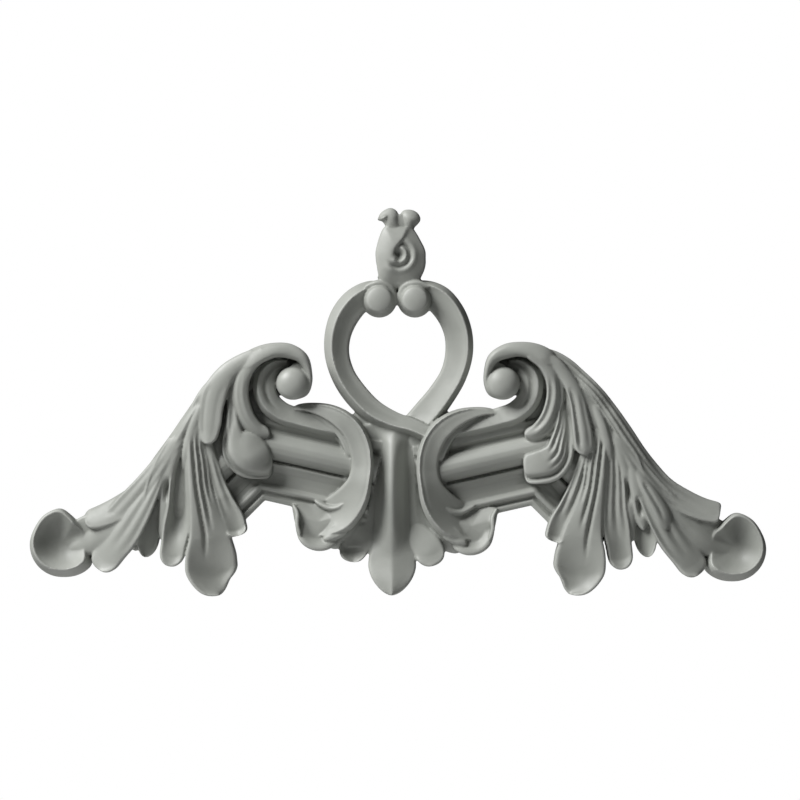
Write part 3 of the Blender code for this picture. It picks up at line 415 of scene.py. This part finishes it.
def moulding(side):
    """Run of panel moulding, mitred where it turns down under the leaves."""
    members = [(0, -BEHIND), (0, 7.0), (0.8, 8.2), (3.0, 8.6), (3.8, 7.2), (5.4, 7.2), (6.2, 9.6),
               (8.0, 10.6), (9.6, 9.6), (10.6, 8.2), (14, 8.2), (18, 8.9), (21.2, 10.6), (22.2, 11.6),
               (23.2, 11.6), (23.9, 9.0), (24.8, 9.0), (25.5, 12.6), (27.0, 15.6), (29.2, 17.8),
               (32.2, 19.0), (35.2, 19.0), (38.0, 17.6), (40.4, 15.2), (41.8, 11.4), (43.0, 11.0),
               (45.5, 13.4), (50, 14), (50, -BEHIND)]
    run = np.array([-math.cos(RUN_SLOPE), math.sin(RUN_SLOPE)])
    turn = np.array([-math.cos(TURN_SLOPE), -math.sin(TURN_SLOPE)])
    knee = np.array(KNEE) + (0, RIGHT_MOULDING_DROP * side)
    run_up, turn_up = np.array([run[1], -run[0]]), np.array([turn[1], -turn[0]])
    mitre = run_up + turn_up
    mitre /= mitre @ run_up
    rings = [[(origin[0] + up[0] * place, -height, origin[1] + up[1] * place) for place, height in members]
             for origin, up in ((knee - run * RUN_LENGTH, run_up), (knee, mitre),
                                (knee + turn * TURN_LENGTH, turn_up))]
    return [skin(np.array(rings))]


def wing(side):
    """One wing, in the left one's coordinates, with its scrolls, its rolled end and its run of moulding."""
    leaves = inner_leaves(side) + hanging_leaves(side) + outer_leaves(side)
    return wing_ground() + volute(side) + scroll_strap() + leaves + end_cup(side) + moulding(side)


def ring():
    """C-scroll beside the pendant. Its strap widens into a shell with a curl and a lipped foot."""
    ground = ribbon([(-57, 33, 4, 12, 0), (-44, 29, 6, 13.5, 0), (-32, 20, 5, 14.5, 0), (-26, 5, 6, 14, 0),
                     (-28, -13, 7, 10, 0), (-35, -26, 8, 9, 0)])
    strap = ribbon([(-62.5, 37.4, 1.4, 18, 0), (-56, 37.9, 2.3, 20, 0), (-49, 37.0, 3.4, 22, 0),
                    (-41, 34.6, 4.8, 24, 0), (-33.5, 30.4, 5.8, 25.5, 0), (-26.6, 23.4, 6.4, RING, 0),
                    (-22.6, 14.5, 6.6, RING, 0), (-21.2, 4, 6.5, RING, 0), (-22.8, -6.5, 7.2, RING, 0),
                    (-25.8, -14.2, 9.2, 24.0, 0.2), (-30.8, -21.6, 11.0, 21.0, 0.5),
                    (-37.0, -27.4, 11.8, 17.8, 0.7), (-43.5, -31.0, 10.4, 14.0, 0.7),
                    (-51.0, -33.8, 8.0, 8.8, 0.7)], section=crested(0.76, 4.4, 5.0), root=3, across=61,
                   stations=120, tilt=(-4.5, 5.0), grooves=[(0.45, 0.6, 0.9, 0.6, 0.08, 0.8)])
    underside = ribbon([(-15.4, 10, 1.2, 8, -1), (-16.4, -2, 1.9, 11, -2), (-18.6, -12, 2.8, 12, -3),
                        (-21.6, -22, 4.4, 12.5, -3), (-26.4, -31, 6.6, 13, -3),
                        (-32.6, -37.6, 8.0, 12.5, -3), (-39.0, -40.6, 7.4, 11.5, -3),
                        (-44.0, -41.0, 6.0, 11, -3)], tip=5, root=3, tilt=(-5, -8), edge=2.6)
    rim_end = ribbon([(-30.5, -37.2, 1.4, 17.5, -1), (-36.5, -39.4, 2.0, 17.6, -1),
                      (-42.0, -40.8, 2.4, 17.2, -1), (-44.6, -41.6, 2.4, 16.4, -1)], tip=2.6, point=2.2,
                     root=4)
    fillet = ribbon([(-53, 33.8, 0.9, 16, 0), (-46, 31.0, 1.3, 17.6, 0), (-40.6, 27.0, 1.6, 18.6, 0),
                     (-35.0, 21.4, 1.8, 19.2, 0), (-31.6, 15.4, 1.8, 19.6, 0), (-29.0, 8.6, 1.5, 19.4, 0)],
                    tip=3, root=3, edge=1.2)
    rim = [(0, 12), (40, 12), (90, 11), (120, 13), (147, 18.5), (165, 15.8), (185, 14.3), (205, 14.8),
           (225, 16.2), (250, 17.2), (270, 17.6), (290, 17.6), (308, 17), (330, 14)]

    def hollowed(share, angle, away):
        low = smooth(0.3, 0.95, -np.sin(angle + 0.2))
        return 12.8 + 4.0 * low * smooth(0.5, 0.88, share) - 5.0 * share * smooth(0.2, 0.9, np.sin(angle))

    foot = dish((-47.5, -31), rim, hollowed)
    foot_rim = ribbon([(-63.0, -20.5, 0.9, 14.5, 0), (-60.6, -25.5, 1.2, 16.5, 0),
                       (-60.4, -33, 1.2, 17.5, 0), (-58.6, -39.4, 1.2, 17.5, 0)], tip=4, root=3, edge=0.9)
    curl = ribbon([(-50, -18.4, 1.2, 11.4, -1), (-46, -20.8, 1.5, 12.8, -1), (-41, -22.8, 1.6, 14.2, -1),
                   (-36.4, -22.4, 1.5, 16.0, -1), (-32.4, -20.0, 1.1, 17.4, -1)], root=3, tip=3, edge=1.2)
    return [ground, underside, strap, rim_end, fillet, foot, foot_rim, curl]


def pendant():
    """Stem and lobe that hang between the rings, over a low ground, with a side lobe at each hand."""
    ground = ribbon([(-1, 28, 19, GROUND, 0), (-3, 10, 23, GROUND, 0), (-3, -15, 24, GROUND, 0),
                     (-3.5, -36, 26, GROUND, 0), (-3.5, -46, 27, GROUND, 0)])
    plate = ribbon([(-3, 28, 18, 12.5, 0), (-2.5, 16, 16, 12, 0), (-3, 0, 15, 10, 0),
                    (-3.5, -20, 15, 8.5, 0), (-3.5, -42, 20, 8, 0)])
    web = ribbon([(-28, 32, 2.5, 9, 0), (-20, 26, 5, 11, 0), (-12, 20, 5, 11, 0)])
    corner = dish((13, 18), 6.5, domed(13.5))
    stem = ribbon([(-1.6, 27.5, 15, 15.5, -3), (-2.1, 22, 12.6, 16.2, -4.2), (-2.8, 16.5, 11.0, 18.0, -6.5),
                   (-3.4, 9, 10.6, 20, -9), (-3.7, -5, 10.4, 21.5, -11.5), (-3.7, -20, 10.6, 20, -11),
                   (-3.6, -34, 11.0, 17.4, -8.5), (-3.5, -44, 12.0, 15.4, -6), (-3.5, -51, 13.8, 14.6, -4),
                   (-3.5, -57, 14.4, 15.6, -4), (-3.6, -65, 14.4, 17.4, -4), (-3.8, -75.2, 13.6, 18, -3)],
                  section=ribbed, tip=19, point=1.75, across=61, lip=0.8)
    left = ribbon([(-15, -33, 4, 8, 0), (-21, -40, 8.0, 9, 0.5), (-26.4, -47.5, 8.6, 8.5, 1.5),
                   (-27.0, -55.4, 8.2, 8.5, 2)], tip=8, point=2.2, lip=3.0)
    right = ribbon([(8, -33, 4, 8, 0), (13.4, -41, 8.2, 10.5, -0.5), (18.6, -49, 9.2, 12.5, -1),
                    (20.2, -57.8, 8.6, 12.5, -1)], tip=9, point=2.2, lip=1.6)
    return [ground, plate, web, corner, stem, left, right]


def loop():
    """Ribbon loop over the pendant. Its left strap crosses over the right one into the right ring."""
    def ball(share, angle, away):
        return 21.2 - 3.4 * share**2.2 - 9.0 * smooth(0.66, 1.02, share)

    right = ribbon([(5.5, 109.5, 3, 15, 0), (14.5, 107.6, 6.6, 16, 0), (23.5, 103.2, 8.4, 17, 0),
                    (31.5, 94, 8.6, LOOP, 0), (36, 83, 8.4, LOOP, 0), (36.8, 71, 8.3, LOOP, 0),
                    (33.5, 57.5, 8.0, 17, 0), (26.5, 45.5, 8.2, 15.5, 0), (17.0, 33.5, 8.6, 13, 0),
                    (8, 24, 8, 11, 0)], section=crested(0.62, 7.0, 6.5), stations=110)
    left = ribbon([(-5.5, 109.5, 3, 15, 0), (-15.5, 107.3, 6.6, 16, 0), (-24.2, 102.0, 8.2, 17, 0),
                   (-32, 92.5, 8.5, LOOP, 0), (-36, 82, 7.9, LOOP, 0), (-36.8, 71, 7.4, LOOP, 0),
                   (-33.2, 57.5, 7.2, 18, 0), (-25.5, 45.5, 7.4, 18.5, 0), (-15.2, 35.4, 7.0, 19, 0),
                   (-3, 29.2, 6.0, 20, 0), (9, 25.6, 5.0, 21.5, 0), (18, 21.5, 4.6, 23, 0)],
                  section=crested(0.40, 6.0, 6.5, flip=-1), stations=120)
    ends = []
    for x, hand in ((-11.3, -1), (10.2, 1)):
        ends.append(dish((x, 102.2), 10.6, ball))
        ends.append(ribbon([(x + 9.0 * hand, 109.5, 1.6, 16, -1), (x, 112.0, 2.0, 17, -1),
                            (x - 6.6 * hand, 109.8, 1.9, 16, -1), (x - 9.2 * hand, 104, 1.5, 14.5, -1),
                            (x - 9.0 * hand, 98.5, 1.0, 13, -1)], tip=3, root=3, edge=1.0))
    cleft = ribbon([(0.6, 116, 8, 10, 0), (0.2, 106, 6, 9, 0), (0.1, 99, 3, 8, 0)])
    neck = ribbon([(-12, 116.4, 1.3, 15, -1), (-6, 114.2, 1.8, 15.5, -1), (1, 112.2, 2.2, 15.5, -1),
                   (7, 113.6, 1.8, 15, -1), (13.4, 115.2, 1.3, 14, -1)])
    return [right, left, cleft, neck] + ends


def bud():
    """Closed bud on the loop: a broad left petal over a right one that wraps round a curl, and two lips."""
    egg = [(4, 16.4), (15, 16.1), (30, 15.8), (44, 16.4), (55, 17.4), (66, 18.9), (76, 17.6), (90, 17.0),
           (105, 17.6), (116, 18.8), (123, 17.9), (135, 16.0), (152, 14.4), (172, 13.9), (191, 13.9),
           (212, 15.1), (228, 17.6), (240, 20), (270, 20), (300, 20), (322, 18.4), (342, 17.2), (355, 16.4)]

    def wrapped(share, angle, away):
        turn = angle % (2 * math.pi)
        lap = np.radians(72 + 240 * np.exp(-away / 2.6))
        petal = smooth(-0.16, 0.06, turn - lap) * (1 - smooth(math.radians(215), math.radians(275), turn))
        past_top = smooth(math.radians(60), math.radians(85), turn)
        before_foot = 1 - smooth(math.radians(200), math.radians(250), turn)
        wrap = 1 - past_top * before_foot
        ridges = 1.1 * np.exp(-((away - 4.4) / 1.2) ** 2) + 0.8 * np.exp(-((away - 9.8) / 1.7) ** 2)
        grooves = 1.2 * np.exp(-((away - 7.0) / 1.3) ** 2)
        hollow = 2.8 * np.exp(-((away / 2.7) ** 2))
        return 18.4 - 4.6 * share**2.4 + wrap * (ridges - grooves) - hollow + 2.2 * petal

    body = dish((0.3, 129), egg, wrapped, edge=1.0, inward=64)
    base = ribbon([(1.0, 108, 11.0, 12, -3), (1.2, 113, 12.0, 13.5, -3), (1.4, 119, 13.0, 14, -4)])
    throat = ribbon([(1.2, 142, 7.5, 14.6, -2), (1.2, 148, 6.6, 15.4, -1.5), (1.0, 153.2, 4.6, 15.2, -1.5)],
                    tip=3, point=3)
    left_outline = [(168, 7.2), (150, 6.9), (122, 6.5), (90, 6.7), (61, 6.3), (32, 5.6), (343, 5.2),
                    (305, 7.9), (270, 8.5), (228.5, 4.8), (191, 5.1)]
    left_lip = dish((-4.5, 150.5), left_outline, domed(17.6, 2.6))
    notch = ribbon([(-12.4, 150.6, 0.6, 12, 0), (-9.5, 150.9, 1.2, 18.0, -1.5),
                    (-6.5, 152.4, 1.6, 18.2, -1)], root=2, tip=2)
    right_outline = [(0, 6.7), (18, 6.5), (57, 5.9), (93, 5.8), (127, 6.3), (162, 6.0), (205, 5.6),
                     (246, 8.2), (279, 7.6), (305, 5.6), (334, 5.8)]
    right_lip = dish((6.8, 150.5), right_outline, domed(16.4, 3.2))
    return [body, base, throat, left_lip, notch, right_lip]


def all_forms():
    """Every closed form of the ornament, in millimetres, before they are fused."""
    left = wing(0) + ring()
    right = [mirrored(form) for form in wing(1)] + [mirrored(form, RIGHT_RING_SHIFT) for form in ring()]
    return left + right + pendant() + loop() + bud()


def box_behind_the_wall():
    """Cutter that trims everything behind the wall plane."""
    mesh = bpy.data.meshes.new("wall_cutter")
    bm = bmesh.new()
    bmesh.ops.create_cube(bm, size=1.0)
    bm.to_mesh(mesh)
    bm.free()
    cutter = bpy.data.objects.new("wall_cutter", mesh)
    cutter.location = (0, 0.5, 0)
    bpy.context.scene.collection.objects.link(cutter)
    return cutter


def made_plain(piece):
    """Turns the piece's modifiers into its mesh."""
    graph = bpy.context.evaluated_depsgraph_get()
    mesh = bpy.data.meshes.new_from_object(piece.evaluated_get(graph))
    piece.modifiers.clear()
    piece.data = mesh


def recess_depth(mesh, rounds=RECESS_ROUNDS):
    """How far each point of the surface lies below its surroundings, in millimetres; the primer paints shade
    in the hollows and a highlight on the crests from it.
    """
    count = len(mesh.vertices)
    points = np.empty(count * 3, np.float32)
    normals = np.empty(count * 3, np.float32)
    mesh.vertices.foreach_get("co", points)
    mesh.vertices.foreach_get("normal", normals)
    points = points.reshape(-1, 3).astype(float)
    normals = normals.reshape(-1, 3)
    edges = np.empty(len(mesh.edges) * 2, np.int32)
    mesh.edges.foreach_get("vertices", edges)
    one, other = edges.reshape(-1, 2).T
    valence = np.bincount(one, minlength=count) + np.bincount(other, minlength=count)
    around = points.copy()
    for _ in range(rounds):
        total = np.empty_like(around)
        for axis in range(3):
            total[:, axis] = (np.bincount(one, around[other, axis], count)
                              + np.bincount(other, around[one, axis], count))
        around = total / valence[:, None]
    return ((around - points) * normals).sum(axis=1) / MM


def relief():
    """The fine casting: every form fused, eased, thinned to the limit for one piece, and cut flat behind."""
    points, faces, first = [], [], 0
    for form_points, form_faces in all_forms():
        points.append(form_points * MM)
        faces += [tuple(index + first for index in face) for face in form_faces]
        first += len(form_points)
    mesh = bpy.data.meshes.new("relief")
    mesh.from_pydata(np.concatenate(points).tolist(), [], faces)
    piece = bpy.data.objects.new("relief", mesh)
    bpy.context.scene.collection.objects.link(piece)
    fuse = piece.modifiers.new("fuse", "REMESH")
    fuse.mode = "VOXEL"
    fuse.voxel_size = FINE_STEP * MM
    ease = piece.modifiers.new("ease", "SMOOTH")
    ease.factor = 0.5
    ease.iterations = EASING
    made_plain(piece)
    thin = piece.modifiers.new("thin", "DECIMATE")
    thin.ratio = RELIEF_TRIANGLES / (2 * len(piece.data.polygons))
    cutter = box_behind_the_wall()
    back = piece.modifiers.new("flat_back", "BOOLEAN")
    back.operation = "DIFFERENCE"
    back.solver = "EXACT"
    back.object = cutter
    made_plain(piece)
    bpy.data.objects.remove(cutter)
    mesh = piece.data
    # Recess depth of each point, from which the primer paints shade in the hollows and a highlight on the
    # crests.
    depth = mesh.attributes.new("recess", "FLOAT", "POINT")
    depth.data.foreach_set("value", recess_depth(mesh).astype(np.float32))
    mesh.shade_smooth()
    mesh.set_sharp_from_angle(angle=BACK_EDGE_ANGLE)
    return piece


def grey_primer():
    """Satin-matt grey primer: cloudy in tone, with painted shade darkening the hollows, a painted highlight
    paling the crests, and dark specks.
    """
    material = bpy.data.materials.new("grey_primer")
    material.use_nodes = True
    tree = material.node_tree
    shader = tree.nodes["Principled BSDF"]
    place = tree.nodes.new("ShaderNodeTexCoord")
    recess = tree.nodes.new("ShaderNodeAttribute")
    recess.attribute_name = "recess"

    def noise(name, scale, detail, roughness=0.5):
        node = tree.nodes.new("ShaderNodeTexNoise")
        node.name = name
        node.inputs["Scale"].default_value = scale
        node.inputs["Detail"].default_value = detail
        node.inputs["Roughness"].default_value = roughness
        tree.links.new(place.outputs["Object"], node.inputs["Vector"])
        return node

    def ranged(value, low, high, start, end):
        node = tree.nodes.new("ShaderNodeMapRange")
        for socket, number in (("From Min", low), ("From Max", high), ("To Min", start), ("To Max", end)):
            node.inputs[socket].default_value = number
        tree.links.new(value, node.inputs["Value"])
        return node.outputs["Result"]

    def mixed(share, first, second):
        node = tree.nodes.new("ShaderNodeMix")
        node.data_type = "RGBA"
        for name, value in (("Factor", share), ("A", first), ("B", second)):
            if isinstance(value, (int, float, tuple)):
                node.inputs[name].default_value = value
            else:
                tree.links.new(value, node.inputs[name])
        return node.outputs["Result"]

    # Each noise has its scale, in waves to the metre, its detail and its roughness.
    clouds = noise("clouds", 18, 4, 0.6)
    specks = noise("specks", 900, 3, 0.6)
    skin_texture = noise("skin_texture", 1400, 2, 0.5)
    sags = noise("sags", 120, 3, 0.5)
    tone = mixed(ranged(clouds.outputs["Fac"], 0.35, 0.65, 0, 1), PRIMER_DARK, PRIMER_LIGHT)
    # Painted shade: darker the deeper a point lies below its surroundings.
    tone = mixed(ranged(recess.outputs["Fac"], 0.15, 1.3, 0, 1), tone, PRIMER_SHADE_AND_SPECKS)
    # Painted highlight: paler where a point stands above its surroundings.
    tone = mixed(ranged(recess.outputs["Fac"], -0.25, -1.0, 0, 0.6), tone, PRIMER_CREST_HIGHLIGHT)
    # Random dark specks in the primer.
    tone = mixed(ranged(specks.outputs["Fac"], 0.62, 0.72, 0, 0.12), tone, PRIMER_SHADE_AND_SPECKS)
    tree.links.new(tone, shader.inputs["Base Color"])
    tree.links.new(ranged(sags.outputs["Fac"], 0.3, 0.7, 0.44, 0.56), shader.inputs["Roughness"])
    shader.inputs["Metallic"].default_value = 0.0
    shader.inputs["Specular IOR Level"].default_value = 0.45
    fine = tree.nodes.new("ShaderNodeBump")
    fine.inputs["Strength"].default_value = 0.10
    fine.inputs["Distance"].default_value = 0.0002
    tree.links.new(skin_texture.outputs["Fac"], fine.inputs["Height"])
    broad = tree.nodes.new("ShaderNodeBump")
    broad.inputs["Strength"].default_value = 0.12
    broad.inputs["Distance"].default_value = 0.0008
    tree.links.new(sags.outputs["Fac"], broad.inputs["Height"])
    tree.links.new(fine.outputs["Normal"], broad.inputs["Normal"])
    tree.links.new(broad.outputs["Normal"], shader.inputs["Normal"])
    return material


def pale_floor():
    """Round pale floor below the piece, out of the photograph's frame."""
    mesh = bpy.data.meshes.new("floor")
    bm = bmesh.new()
    bmesh.ops.create_circle(bm, cap_ends=True, segments=96, radius=FLOOR_RADIUS)
    bm.to_mesh(mesh)
    bm.free()
    mesh.transform(Matrix.Translation((0, 0, FLOOR_LEVEL)))
    floor = bpy.data.objects.new("floor", mesh)
    bpy.context.scene.collection.objects.link(floor)
    paint = bpy.data.materials.new("pale_floor")
    paint.use_nodes = True
    shader = paint.node_tree.nodes["Principled BSDF"]
    shader.inputs["Base Color"].default_value = FLOOR_WHITE
    shader.inputs["Roughness"].default_value = FLOOR_ROUGHNESS
    mesh.materials.append(paint)


def soft_light(name, place, size, power):
    """Square soft light, turned to the middle of the piece."""
    light = bpy.data.lights.new(name, "AREA")
    light.size = size
    light.energy = power
    lamp = bpy.data.objects.new(name, light)
    lamp.location = place
    lamp.rotation_euler = (-Vector(place)).to_track_quat("-Z", "Y").to_euler()
    bpy.context.scene.collection.objects.link(lamp)


def white_surround():
    """White backdrop for the camera that adds only a little light to the piece."""
    world = bpy.data.worlds.new("surround")
    bpy.context.scene.world = world
    world.use_nodes = True
    tree = world.node_tree
    dim = tree.nodes["Background"]
    dim.inputs["Color"].default_value = (1, 1, 1, 1)
    dim.inputs["Strength"].default_value = SURROUND_LIGHT
    white = tree.nodes.new("ShaderNodeBackground")
    white.inputs["Strength"].default_value = 1.0
    white.inputs["Color"].default_value = (1, 1, 1, 1)
    seen = tree.nodes.new("ShaderNodeLightPath")
    choice = tree.nodes.new("ShaderNodeMixShader")
    tree.links.new(seen.outputs["Is Camera Ray"], choice.inputs["Fac"])
    tree.links.new(dim.outputs["Background"], choice.inputs[1])
    tree.links.new(white.outputs["Background"], choice.inputs[2])
    tree.links.new(choice.outputs["Shader"], tree.nodes["World Output"].inputs["Surface"])


def camera():
    """Long lens square to the wall, so that the raised parts are hardly enlarged."""
    data = bpy.data.cameras.new("camera")
    data.lens = LENS
    data.sensor_width = SENSOR
    eye = bpy.data.objects.new("camera", data)
    eye.location = (FRAME_CENTRE[0], FRAME_PLANE - FRAME_WIDTH * LENS / SENSOR, FRAME_CENTRE[1])
    eye.rotation_euler = (math.radians(90), 0, 0)
    data.clip_end = CAMERA_REACH
    bpy.context.scene.collection.objects.link(eye)
    bpy.context.scene.camera = eye


casting = relief()
casting.data.materials.append(grey_primer())
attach(casting, "root")
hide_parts("corner_ornament")
pale_floor()
soft_light("key", KEY_PLACE, KEY_SIZE, KEY_POWER)
soft_light("fill", FILL_PLACE, FILL_SIZE, FILL_POWER)
white_surround()
camera()
bpy.context.scene.view_settings.view_transform = "Standard"
